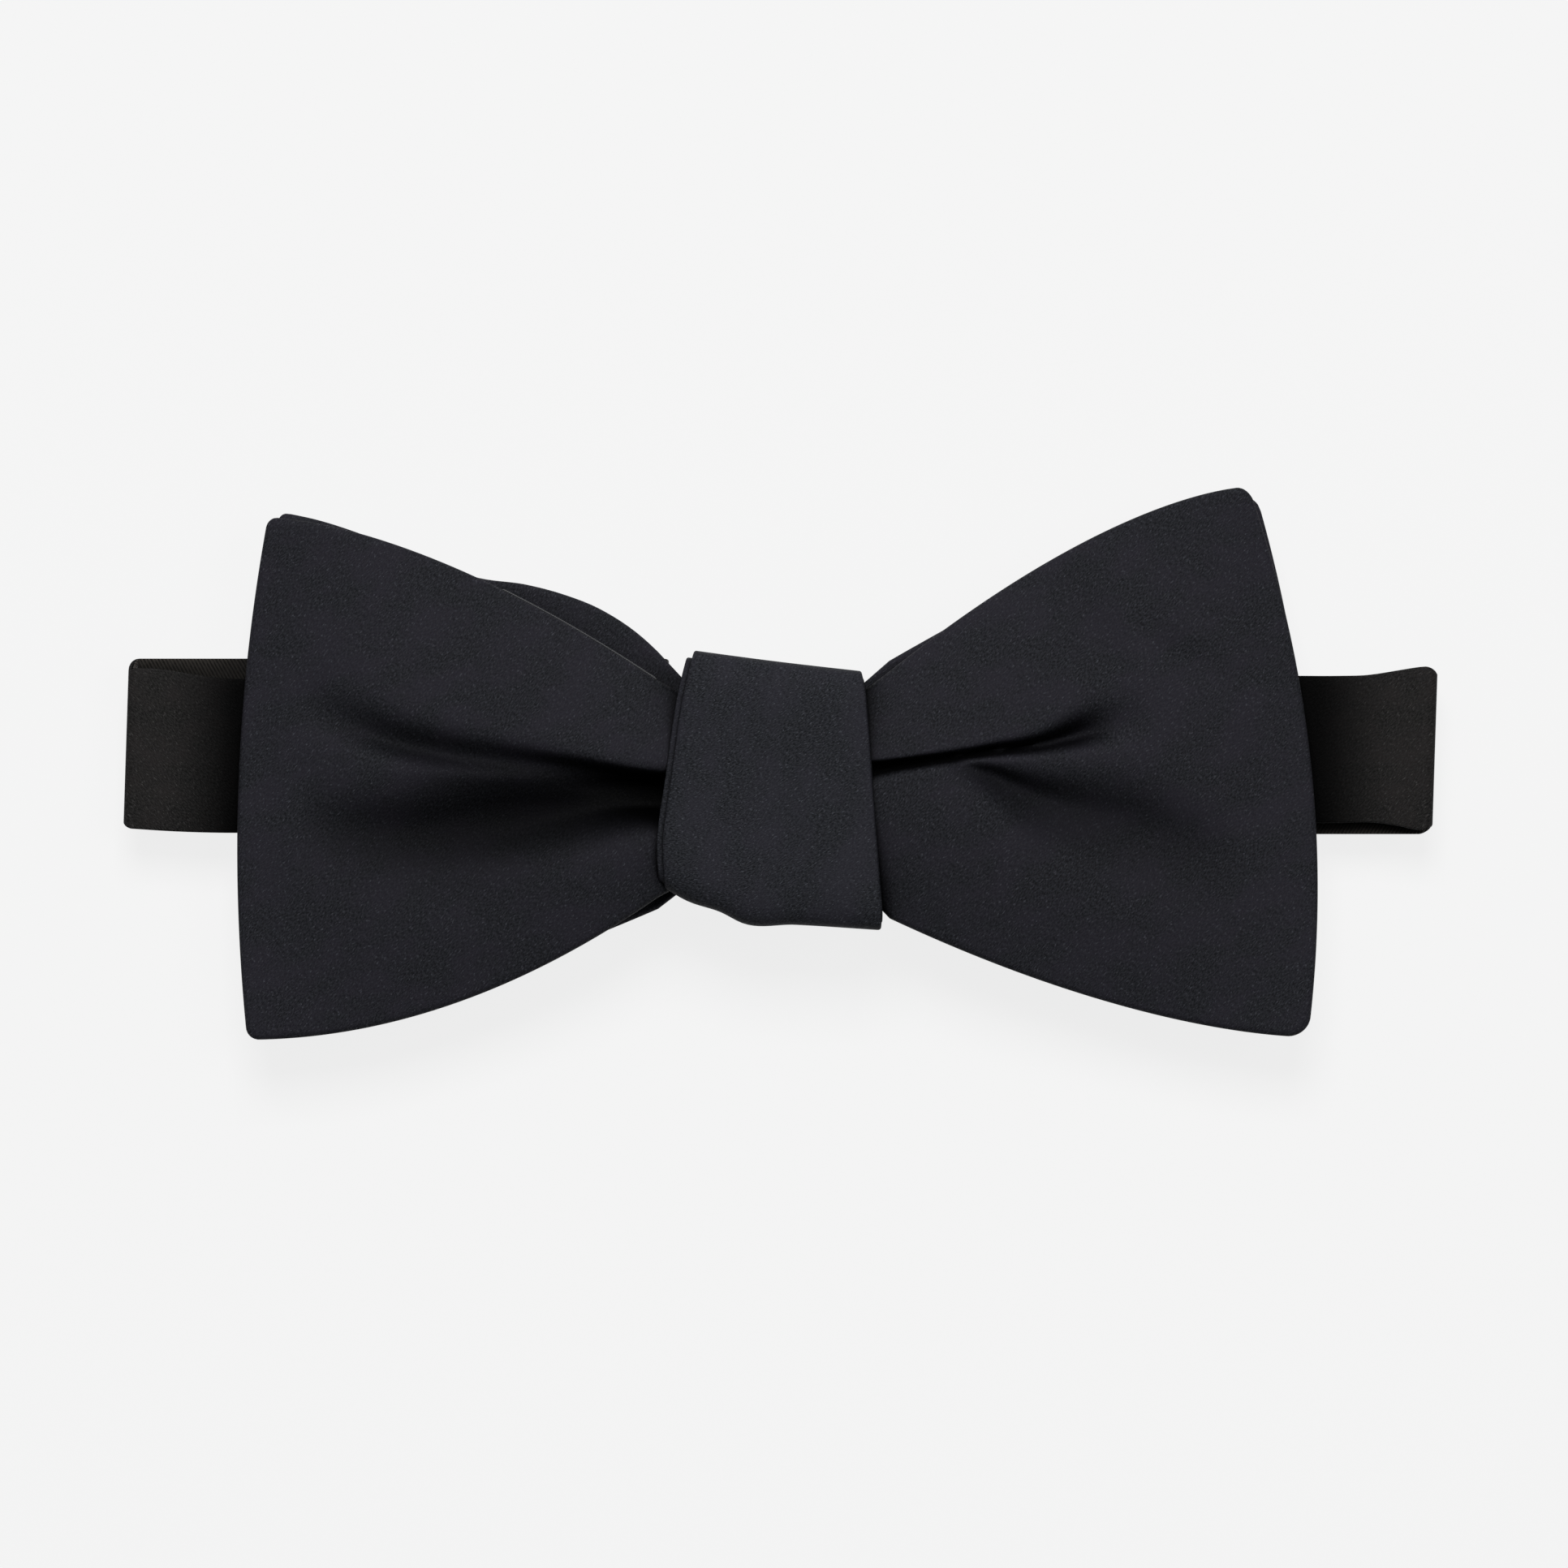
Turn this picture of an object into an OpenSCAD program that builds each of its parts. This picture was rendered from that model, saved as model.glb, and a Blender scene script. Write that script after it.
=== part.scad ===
// Pre-tied bow tie, lying face up with its neck band folded behind the bow.
// X runs along the bow, Y up the bow and Z out of its front. The underside lies on Z = 0.

/* [Band] */
// Width of the neck band
band_w = 18.6; // [18:0.1:20]
// Thickness of the satin outside of the band
satin_t = 0.45; // [0.3:0.05:0.45]
// Thickness of the twill lining of the band
lining_t = 0.4; // [0.3:0.05:0.4]
// Half the length of the folded band, to the outside of its outer folds
band_half = 73; // [68:0.5:78]
// Where the middle and end runs are folded together, measured from the centre
inner_fold_x = 14; // [13.5:0.1:15]
// Height of the middle of the bow's front run up the bow
band_y = 1.7; // [1:0.1:2.2]

/* [Bow] */
// Thickness of one satin ply of the bow
ply_t = 0.4; // [0.3:0.05:0.4]
// Thickness of the bow's interlining
interlining_t = 0.5; // [0.3:0.05:0.5]
// How far the middle of a front wing swells above its edge
front_puff = 3.5; // [1:0.1:4]
// Depth of the pleat in each front wing where it enters the knot
pleat_depth = 2.2; // [0:0.1:2.4]

/* [Knot] */
// Height of the knot up the bow
knot_h = 31; // [30:0.1:32]
// Thickness of the knot from back to front
knot_t = 12.2; // [12:0.1:12.6]
// Thickness of the knot's satin
knot_wall = 0.6; // [0.5:0.05:0.6]

/* [Fittings] */
// Diameter of the bar that the band turns round in the hook and the eye
bar_d = 1.5; // [1.2:0.1:1.6]
// Width of metal beside the band in each fitting
rail_w = 1.6; // [1.2:0.1:1.8]
// Thickness of the hook and eye plates
plate_t = 0.8; // [0.6:0.1:1]
// Where the hook's bar lies, measured from the centre
hook_x = 50; // [46:0.5:51]
// Where the eye's bar lies, measured from the centre
eye_x = 45; // [45:0.5:47]
// Where the slider's middle bar lies, measured from the centre
slider_x = 33; // [32:0.5:33.5]

/* [Hidden] */
$fn = 48;

// Colours of the cloths and of the metal
satin_colour = [0.12, 0.12, 0.14];
lining_colour = [0.13, 0.11, 0.10];
interlining_colour = [0.80, 0.78, 0.72];
thread_colour = [0.07, 0.07, 0.08];
metal_colour = [0.72, 0.71, 0.69];

// The band is satin outside and lining inside, a hair apart
ply_gap = 0.05;
band_t = satin_t + ply_gap + lining_t;

// Heights of the underside of each run above the table
tail_z = 0;
end_z = 2.9;
middle_z = 5.1;
front_z = 7.0;

// Each fold's axis lies halfway between the two runs that it joins
outer_fold_z = (front_z + middle_z + band_t) / 2;
inner_fold_z = (middle_z + end_z + band_t) / 2;
fitting_z = (end_z + tail_z + band_t) / 2;
outer_fold_x = band_half - (front_z + band_t - outer_fold_z);
run_gap = 0.1;

// The left runs lie a little higher up the bow than the right runs, because the band is folded askew
left_run_y = band_y + 0.4;
right_run_y = band_y - 0.3;

// The front run narrows towards the knot
front_shoulder_x = 57;
front_shoulder_w = 16.8;
front_waist_x = 16;
front_waist_w = 13;

// Hook end
hook_flap_l = 14;
hook_tack_l = 1.2;
// Adjuster end
loop_start_x = 30;
tail_end_x = slider_x + 5.2;

// Slider
slider_half = 6;
slider_bar_l = 1.4;
slider_bar_t = 0.7;
middle_bar_half = 1.2;
middle_bar_z = 1.05;
middle_bar_t = 0.6;
slider_top_z = 4.1;
slider_loop_z = (tail_z + 2 * band_t + 0.9) / 2;
slider_flap_l = 5;

// Room beside the band inside each fitting
side_room = 0.3;
fitting_y = band_w / 2 + side_room;

// The mouths of the knot, where the wings go in
mouth_left = -13.6;
mouth_right = 12.1;
waist_top = 6;
waist_bottom = -11.5;

// A bow ply's outline. Each wing is [top corner, bottom corner, bulge of its outer edge,
// power of its top edge, power of its bottom edge, height of its top and bottom at the knot]
front_left = [[-56.9, 27.3], [-59.2, -30.7], -2.1, 1.6, 1.8, 9.2, -14.9];
front_right = [[52.0, 30.7], [58.6, -30.4], 3.6, 1.4, 1.5, 10.2, -17.2];
rear_left = [[-55.8, 28.1], [-58.4, -30.0], -1.9, 1.3, 1.7, 11.6, -15.9];
rear_right = [[53.0, 29.6], [58.2, -29.7], 3.0, 1.3, 1.5, 11.4, -16.6];

// Heights of the undersides of the plies at a wing's edge
rear_z = 8.5;
front_bow_z = 10.3;
cloth_gap = 0.1;
interlining_z = ply_t + cloth_gap;
face_z = interlining_z + interlining_t + cloth_gap;

// How many strips a ply has along each wing, through the waist and across
wing_strips = 10;
waist_strips = 4;
rows = 8;

// A wing is fullest this far along it, and keeps this share of its swell at the knot
full_s = 0.3;
knot_share = 0.62;
// The interlining swells less than the face over it
interlining_share = 0.7;
// Where the pleat lies across a wing, and how wide it is
pleat_v = 0.58;
pleat_width = 0.09;

knot_middle = [-3.05, 11.1];
knot_power = 5;
knot_steps = 72;
inner_wrap_t = 0.5;
wrap_gap = 0.15;

// The knot seen from the front
knot_outline = [[-9.5, 13], [8.5, 13], [10.2, -3], [11.2, -19], [-5.3, -19],
    [-6.7, -16.7], [-12.6, -13.6], [-11.9, -1.2]];
// The inner wrap stands proud at the left and at the lower right
inner_outline = [[-10.6, 13], [8.3, 13], [10.4, -8], [11.8, -19], [-6.2, -19],
    [-7.4, -17.2], [-13.2, -13.4], [-12.5, -1.2]];

stitch_r = 0.15;
stitch_l = 1.6;

function mix(a, b, t) = a + (b - a) * t;
// 1 at the middle of a row and 0 at its two edges, with steep shoulders
function dome(v) = pow(sin(180 * v), 0.6);
// A smooth valley of unit depth at v0
function valley(v, v0, width) = exp(-pow((v - v0) / width, 2));

// Height of a wing's swell at s along it (0 outer edge, 1 knot) and v across it, never below 0
function swell(puff, s, v) =
    let (along = s < full_s ? sin(90 * s / full_s) : mix(1, knot_share, (s - full_s) / (1 - full_s)))
    max(0, puff * along * dome(v) - min(puff, pleat_depth) * s * s * valley(v, pleat_v, pleat_width));

// Point of a wing at s along it and v across it, in plan
function wing_point(w, mouth_x, s, v) =
    let (outer_x = mix(w[1][0], w[0][0], v) + w[2] * 4 * v * (1 - v),
         top_y = mix(w[0][1], w[5], pow(s, w[3])),
         bottom_y = mix(w[1][1], w[6], pow(s, w[4])))
    [mix(outer_x, mouth_x, s), mix(bottom_y, top_y, v)];

// Point of the waist at t through the knot (0 left mouth, 1 right mouth), in plan
function waist_point(l, r, t, v) =
    let (pinch = pow(sin(180 * t), 0.7),
         top_y = mix(mix(l[5], r[5], t), waist_top, pinch),
         bottom_y = mix(mix(l[6], r[6], t), waist_bottom, pinch))
    [mix(mouth_left, mouth_right, t), mix(bottom_y, top_y, v)];

// Station i of a whole bow, from the left edge through the waist to the right edge
function bow_point(l, r, puff, z, i, v) =
    let (k = wing_strips, n = waist_strips,
         s = i <= k ? i / k : i >= k + n ? (2 * k + n - i) / k : 1,
         p = i <= k ? wing_point(l, mouth_left, s, v)
           : i >= k + n ? wing_point(r, mouth_right, s, v)
           : waist_point(l, r, (i - k) / n, v))
    [p[0], p[1], z + swell(puff, s, v)];

// One ply of a bow, a thin solid between its lower and its upper grid of points
module bow_ply(l, r, puff, z, t) {
    last = 2 * wing_strips + waist_strips;
    side = rows + 1;
    half = (last + 1) * side;
    points = [for (level = [z + t, z]) for (i = [0 : last]) for (j = [0 : rows])
        bow_point(l, r, puff, level, i, j / rows)];
    function quad(a, b, c, d) = [[a, b, c], [a, c, d]];
    faces = [
        for (i = [0 : last - 1]) for (j = [0 : rows - 1])
            let (a = i * side + j, b = a + side)
            each concat(quad(a, a + 1, b + 1, b),
                quad(half + a, half + b, half + b + 1, half + a + 1)),
        for (j = [0 : rows - 1])
            let (a = j, b = last * side + j)
            each concat(quad(a + 1, a, half + a, half + a + 1),
                quad(b, b + 1, half + b + 1, half + b)),
        for (i = [0 : last - 1])
            let (a = i * side, b = a + rows)
            each concat(quad(a, a + side, half + a + side, half + a),
                quad(b + side, b, half + b, half + b + side))
    ];
    polyhedron(points, faces, convexity = 6);
}

module front_ply(z, t, puff) { bow_ply(front_left, front_right, puff, front_bow_z + z, t); }
// The rear bow lies flat, pressed between the front bow and the band
module rear_ply(z, t) { bow_ply(rear_left, rear_right, 0, rear_z + z, t); }

module front_bow_back() { color(satin_colour) front_ply(0, ply_t, 0); }
module front_bow_interlining() { color(interlining_colour) front_ply(interlining_z, interlining_t, interlining_share * front_puff); }
module front_bow_face() { color(satin_colour) front_ply(face_z, ply_t, front_puff); }
module rear_bow_back() { color(satin_colour) rear_ply(0, ply_t); }
module rear_bow_interlining() { color(interlining_colour) rear_ply(interlining_z, interlining_t); }
module rear_bow_face() { color(satin_colour) rear_ply(face_z, ply_t); }

// Runs a shape drawn in Y and Z along X
module along_x(x0, x1) {
    translate([x0, 0, 0]) rotate([90, 0, 90]) linear_extrude(x1 - x0) children();
}
// Runs a shape drawn in X and Z along Y, from y0 to y1
module along_y(y0, y1) {
    translate([0, y1, 0]) rotate([90, 0, 0]) linear_extrude(y1 - y0) children();
}

// Thread wound round the waist of both bows
module waist_binding() {
    top_z = 14.6;
    thread_t = 0.3;
    low = [waist_bottom - 2.4, rear_z - 0.45];
    high = [waist_top + 2.4, top_z];
    color(thread_colour) along_x(-2, 2) difference() {
        translate(low) square(high - low);
        translate(low + [thread_t, thread_t]) square(high - low - 2 * [thread_t, thread_t]);
    }
}

// The knot's cross section: a squared oval, inset from the knot's outside
module knot_oval(inset) {
    a = knot_h / 2 - inset;
    b = knot_t / 2 - inset;
    function bend(x) = sign(x) * pow(abs(x), 2 / knot_power);
    polygon([for (i = [0 : knot_steps - 1]) let (q = 360 * i / knot_steps)
        knot_middle + [a * bend(cos(q)), b * bend(sin(q))]]);
}
// A wrap of cloth round the knot, cut to its outline seen from the front
module knot_ring(inset, wall, outline) {
    intersection() {
        along_x(-20, 20) difference() {
            knot_oval(inset);
            knot_oval(inset + wall);
        }
        linear_extrude(30) polygon(outline);
    }
}
module knot_wrap() { color(satin_colour) knot_ring(0, knot_wall, knot_outline); }
module knot_inner_wrap() { color(satin_colour) knot_ring(knot_wall + wrap_gap, inner_wrap_t, inner_outline); }

// Hand stitches across the wrap's join behind the knot
module knot_back_stitches() {
    color(thread_colour) for (y = [-12 : 3 : 6])
        translate([-stitch_l / 2, y, knot_middle[1] - knot_t / 2 - stitch_r - 0.02])
            rotate([0, 90, 0]) cylinder(r = stitch_r, h = stitch_l, $fn = 24);
}

// Lower and upper faces of a ply in a run whose satin faces up or down
function satin_z(z, up) = up ? z + band_t - satin_t : z;
function lining_z(z, up) = up ? z : z + band_t - lining_t;

// A flat run of one ply along X
module run(x0, x1, y, z, t) {
    translate([min(x0, x1), y - band_w / 2, z]) cube([abs(x1 - x0), band_w, t]);
}
module run_satin(x0, x1, y, z, up) { color(satin_colour) run(x0, x1, y, satin_z(z, up), satin_t); }
module run_lining(x0, x1, y, z, up) { color(lining_colour) run(x0, x1, y, lining_z(z, up), lining_t); }

// A half turn of one ply about a line along Y, bulging outwards along X when out is 1 and inwards when it is -1
module turn(x, y, z, r_in, r_out, out) {
    translate([x, y, z]) rotate([90, 0, 0]) rotate([0, 0, out > 0 ? -90 : 90])
        rotate_extrude(angle = 180) translate([r_in, -band_w / 2]) square([r_out - r_in, band_w]);
}
// The two plies of a turn. The satin is the outer one when satin_out is true
module turn_satin(x, y, z, half_gap, out, satin_out) {
    inner = half_gap + (satin_out ? lining_t + ply_gap : 0);
    color(satin_colour) turn(x, y, z, inner, inner + satin_t, out);
}
module turn_lining(x, y, z, half_gap, out, satin_out) {
    inner = half_gap + (satin_out ? 0 : satin_t + ply_gap);
    color(lining_colour) turn(x, y, z, inner, inner + lining_t, out);
}

// The front run, which passes behind the knot and narrows towards it
module front_band(z, t) {
    half = [[outer_fold_x - run_gap, band_w / 2], [front_shoulder_x, front_shoulder_w / 2],
        [front_waist_x, front_waist_w / 2]];
    function corner(p, x, y) = [p[0] * x, band_y + p[1] * y];
    points = concat([for (p = half) corner(p, 1, 1)], [for (i = [2 : -1 : 0]) corner(half[i], -1, 1)],
        [for (p = half) corner(p, -1, -1)], [for (i = [2 : -1 : 0]) corner(half[i], 1, -1)]);
    translate([0, 0, z]) linear_extrude(t) polygon(points);
}
module front_band_satin() { color(satin_colour) front_band(satin_z(front_z, true), satin_t); }
module front_band_lining() { color(lining_colour) front_band(lining_z(front_z, true), lining_t); }

// Each side's outer fold, middle run and inner fold, with side 1 on the right and -1 on the left
function run_y(side) = side > 0 ? right_run_y : left_run_y;
outer_half_gap = front_z - outer_fold_z;
inner_half_gap = middle_z - inner_fold_z;
module outer_fold_satin(side) { turn_satin(side * outer_fold_x, band_y, outer_fold_z, outer_half_gap, side, true); }
module outer_fold_lining(side) { turn_lining(side * outer_fold_x, band_y, outer_fold_z, outer_half_gap, side, true); }
module middle_satin(side) { run_satin(side * inner_fold_x, side * (outer_fold_x - run_gap), run_y(side), middle_z, false); }
module middle_lining(side) { run_lining(side * inner_fold_x, side * (outer_fold_x - run_gap), run_y(side), middle_z, false); }
module inner_fold_satin(side) { turn_satin(side * inner_fold_x, run_y(side), inner_fold_z, inner_half_gap, -side, false); }
module inner_fold_lining(side) { turn_lining(side * inner_fold_x, run_y(side), inner_fold_z, inner_half_gap, -side, false); }
module end_satin(side, end_x) { run_satin(side * (inner_fold_x + run_gap), side * end_x, run_y(side), end_z, true); }
module end_lining(side, end_x) { run_lining(side * (inner_fold_x + run_gap), side * end_x, run_y(side), end_z, true); }

// The left end turns through the hook and is sewn back on itself
fitting_half_gap = end_z - fitting_z;
module hook_loop_satin() {
    turn_satin(-hook_x, left_run_y, fitting_z, fitting_half_gap, -1, true);
    run_satin(-hook_x, hook_flap_l - hook_x, left_run_y, tail_z, false);
}
module hook_loop_lining() {
    turn_lining(-hook_x, left_run_y, fitting_z, fitting_half_gap, -1, true);
    run_lining(-hook_x, hook_flap_l - hook_x, left_run_y, tail_z, false);
}
module hook_bar_tack() {
    tack_w = band_w - 4;
    color(thread_colour) translate([hook_flap_l - hook_x - 3, left_run_y - tack_w / 2, tail_z + band_t])
        cube([hook_tack_l, tack_w, end_z - tail_z - band_t]);
}

// Bar and side rails that hold the band in the hook and in the eye, drawn on the right side
module fitting_frame(x, y) {
    cross_x = x + 2.9;
    cross_l = 1.5;
    translate([x, y + fitting_y + rail_w / 2, fitting_z]) rotate([90, 0, 0])
        cylinder(d = bar_d, h = 2 * fitting_y + rail_w);
    for (low = [-fitting_y - rail_w, fitting_y])
        translate([x - bar_d / 2, y + low, fitting_z - plate_t / 2])
            cube([cross_x + cross_l - x + bar_d / 2, rail_w, plate_t]);
    translate([cross_x, y - fitting_y, fitting_z - plate_t / 2])
        cube([cross_l, 2 * fitting_y, plate_t]);
}
// Flat eye with a slot for the hook
module eye() {
    tongue_x = eye_x + 4;
    tongue = [5.6, 13];
    slot = [2.4, 9.4];
    slot_x = tongue_x + 1.6;
    color(metal_colour) {
        fitting_frame(eye_x, right_run_y);
        translate([0, 0, fitting_z - plate_t / 2]) linear_extrude(plate_t) difference() {
            translate([tongue_x, right_run_y - tongue[1] / 2]) square(tongue);
            translate([slot_x, right_run_y - slot[1] / 2]) square(slot);
        }
    }
}
// Hook with a flat tongue whose end turns back over itself
module hook() {
    tongue_w = 8;
    tongue_start = 4;
    tongue_end = 9;
    lip_l = 3.6;
    lip_gap = 1.1;
    turn_r = lip_gap / 2 + plate_t;
    color(metal_colour) mirror([1, 0, 0]) {
        fitting_frame(hook_x, left_run_y);
        translate([hook_x, 0, fitting_z - plate_t / 2]) along_y(left_run_y - tongue_w / 2, left_run_y + tongue_w / 2) {
            translate([tongue_start, 0]) square([tongue_end - tongue_start, plate_t]);
            translate([tongue_end - lip_l, plate_t + lip_gap]) square([lip_l, plate_t]);
            intersection() {
                translate([tongue_end, turn_r]) difference() {
                    circle(turn_r);
                    circle(lip_gap / 2);
                }
                translate([tongue_end, 0]) square([turn_r, 2 * turn_r]);
            }
        }
    }
}

// The right end passes through the slider, round the eye's bar and back to the slider
module adjuster_loop_satin() {
    run_satin(loop_start_x, eye_x, right_run_y, end_z, true);
    turn_satin(eye_x, right_run_y, fitting_z, fitting_half_gap, 1, true);
}
module adjuster_loop_lining() {
    run_lining(loop_start_x, eye_x, right_run_y, end_z, true);
    turn_lining(eye_x, right_run_y, fitting_z, fitting_half_gap, 1, true);
}
module tail_satin() { run_satin(tail_end_x, eye_x - run_gap, right_run_y, tail_z, false); }
module tail_lining() { run_lining(tail_end_x, eye_x - run_gap, right_run_y, tail_z, false); }

// The tail's end goes round the slider's middle bar and is sewn back on itself
slider_turn_x = slider_x - middle_bar_half - 0.5;
slider_half_gap = slider_loop_z - tail_z - band_t;
slider_flap_z = slider_loop_z + slider_half_gap;
module slider_loop_satin() {
    turn_satin(slider_turn_x, right_run_y, slider_loop_z, slider_half_gap, -1, true);
    run_satin(slider_turn_x, slider_x + slider_flap_l, right_run_y, tail_z, false);
    run_satin(slider_turn_x, slider_x + slider_flap_l, right_run_y, slider_flap_z, true);
}
module slider_loop_lining() {
    turn_lining(slider_turn_x, right_run_y, slider_loop_z, slider_half_gap, -1, true);
    run_lining(slider_turn_x, slider_x + slider_flap_l, right_run_y, tail_z, false);
    run_lining(slider_turn_x, slider_x + slider_flap_l, right_run_y, slider_flap_z, true);
}
module slider_bar_tack() {
    tack_w = band_w - 4;
    color(thread_colour) translate([slider_x + 2.6, right_run_y - tack_w / 2, tail_z + band_t])
        cube([hook_tack_l, tack_w, slider_flap_z - tail_z - band_t]);
}

// Slider with two outer bars above the band and a middle bar below it, joined by bent rails
module slider() {
    rail = [[-slider_half, slider_top_z + slider_bar_t], [-slider_half, slider_top_z],
        [-slider_half + 2, slider_top_z], [-middle_bar_half - 0.4, middle_bar_z],
        [middle_bar_half + 0.4, middle_bar_z], [slider_half - 2, slider_top_z],
        [slider_half, slider_top_z], [slider_half, slider_top_z + slider_bar_t],
        [slider_half - 2.6, slider_top_z + slider_bar_t], [middle_bar_half, middle_bar_z + 0.9],
        [-middle_bar_half, middle_bar_z + 0.9], [-slider_half + 2.6, slider_top_z + slider_bar_t]];
    color(metal_colour) translate([slider_x, right_run_y, 0]) {
        for (low = [-fitting_y - rail_w, fitting_y]) along_y(low, low + rail_w) polygon(rail);
        for (x = [-slider_half, slider_half - slider_bar_l])
            translate([x, -fitting_y, slider_top_z]) cube([slider_bar_l, 2 * fitting_y, slider_bar_t]);
        translate([-middle_bar_half, -fitting_y, middle_bar_z])
            cube([2 * middle_bar_half, 2 * fitting_y, middle_bar_t]);
    }
}

front_bow_face();
front_bow_interlining();
front_bow_back();
rear_bow_face();
rear_bow_interlining();
rear_bow_back();
waist_binding();
knot_wrap();
knot_inner_wrap();
knot_back_stitches();
front_band_satin();
front_band_lining();
outer_fold_satin(-1);  // left_outer_fold_satin
outer_fold_lining(-1);  // left_outer_fold_lining
outer_fold_satin(1);  // right_outer_fold_satin
outer_fold_lining(1);  // right_outer_fold_lining
middle_satin(-1);  // left_middle_band_satin
middle_lining(-1);  // left_middle_band_lining
middle_satin(1);  // right_middle_band_satin
middle_lining(1);  // right_middle_band_lining
inner_fold_satin(-1);  // left_inner_fold_satin
inner_fold_lining(-1);  // left_inner_fold_lining
inner_fold_satin(1);  // right_inner_fold_satin
inner_fold_lining(1);  // right_inner_fold_lining
end_satin(-1, hook_x);  // left_end_band_satin
end_lining(-1, hook_x);  // left_end_band_lining
end_satin(1, loop_start_x - run_gap);  // right_end_band_satin
end_lining(1, loop_start_x - run_gap);  // right_end_band_lining
hook_loop_satin();
hook_loop_lining();
hook_bar_tack();
hook();
adjuster_loop_satin();
adjuster_loop_lining();
tail_satin();
tail_lining();
eye();
slider_loop_satin();
slider_loop_lining();
slider_bar_tack();
slider();
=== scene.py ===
# %% [markdown]
# # A pre-tied satin bow tie
# A bow tie that comes ready tied has a front bow, a rear bow, a knot wrapped round both, and a
# neck band with a hook, an eye and a slider. Here it lies face up with the band folded behind it.
# The hard facts, such as sizes, hinges and fittings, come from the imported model. This script adds
# what only a picture needs: cloth with rolled edges, pleats, weave, stitches and light.

import bmesh
import bpy
import numpy as np
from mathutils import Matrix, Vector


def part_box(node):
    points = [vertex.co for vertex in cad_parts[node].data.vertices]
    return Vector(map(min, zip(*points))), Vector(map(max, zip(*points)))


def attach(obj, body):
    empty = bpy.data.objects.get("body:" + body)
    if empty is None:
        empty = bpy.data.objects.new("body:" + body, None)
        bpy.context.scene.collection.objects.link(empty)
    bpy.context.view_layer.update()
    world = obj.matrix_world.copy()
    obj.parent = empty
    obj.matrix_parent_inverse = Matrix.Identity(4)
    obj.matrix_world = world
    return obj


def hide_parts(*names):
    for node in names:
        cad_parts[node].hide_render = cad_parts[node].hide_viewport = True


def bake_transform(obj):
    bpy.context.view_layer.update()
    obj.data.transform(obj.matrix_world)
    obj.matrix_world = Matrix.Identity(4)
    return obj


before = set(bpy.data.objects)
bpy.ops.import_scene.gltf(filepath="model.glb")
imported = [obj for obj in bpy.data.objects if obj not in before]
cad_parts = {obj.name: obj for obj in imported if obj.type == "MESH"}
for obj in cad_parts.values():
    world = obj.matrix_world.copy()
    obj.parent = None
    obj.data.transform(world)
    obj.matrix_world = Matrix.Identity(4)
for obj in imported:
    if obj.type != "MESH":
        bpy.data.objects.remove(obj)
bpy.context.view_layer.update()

MM = 0.001


def low(node):
    """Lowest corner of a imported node, in millimetres."""
    return np.array(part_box(node)[0]) / MM


def high(node):
    """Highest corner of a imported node, in millimetres."""
    return np.array(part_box(node)[1]) / MM


# %% [markdown]
# Cloth shapes bend smoothly, so every outline and pleat below is a smooth curve through a few
# listed points. A cubic piece between two points needs a slope at each, and the average
# slope of the neighbouring pieces is a good one. Working in whole arrays keeps it short and quick.

# %% Smooth curves
def through(x, xs, ys):
    """Smooth curve through a few points, level beyond its ends: Hermite cubics, with mean slopes."""
    xs, ys = np.array(xs, float), np.array(ys, float)
    slopes = np.gradient(ys, xs)
    i = np.clip(np.searchsorted(xs, x) - 1, 0, len(xs) - 2)
    h = xs[i + 1] - xs[i]
    t = np.clip((x - xs[i]) / h, 0, 1)
    start = (2 * t**3 - 3 * t**2 + 1) * ys[i] + (t**3 - 2 * t**2 + t) * h * slopes[i]
    return start + (3 * t**2 - 2 * t**3) * ys[i + 1] + (t**3 - t**2) * h * slopes[i + 1]


def ease(x, start, end):
    """0 before start and 1 after end, with a smooth step 3t^2 - 2t^3 between."""
    t = np.clip((x - start) / (end - start), 0, 1)
    return t * t * (3 - 2 * t)


def mix(a, b, t):
    """Straight blend, a + (b - a) t."""
    return a + (b - a) * t


def roll(distance, radius):
    """Height of a rolled edge: a quarter circle that is 0 at the edge and 1 a radius inside it."""
    return np.sqrt(1 - (1 - np.clip(distance / radius, 0, 1)) ** 2)


def rolled_steps(length, radius, turns, count):
    """Distances from one edge to the other, crowded over both rolled edges."""
    arc = radius * (1 - np.cos(np.linspace(0, np.pi / 2, turns + 1)))
    inside = np.linspace(radius, length - radius, count + 1)[1:-1]
    return np.concatenate([arc, inside, length - arc[::-1]])


# %% [markdown]
# Every piece of cloth is a closed shell: an outer and an inner sheet of points that meet along
# rolled edges. Two grids of points and a little index arithmetic give all the faces at once. A
# loop over vertices would do the same thing slowly. The UV map is in millimetres of cloth, so that
# a weave keeps its real size wherever the cloth goes.

# %% Meshes from grids of points
def grid_faces(rows, columns, first=0, closed=False):
    """Quads (i, j), (i+1, j), (i+1, j+1), (i, j+1) of a grid, joined end to start if closed."""
    index = first + np.arange(rows * columns).reshape(rows, columns)
    if closed:
        index = np.vstack([index, index[:1]])
    return np.stack([index[:-1, :-1], index[1:, :-1], index[1:, 1:], index[:-1, 1:]], -1).reshape(-1, 4)


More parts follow.
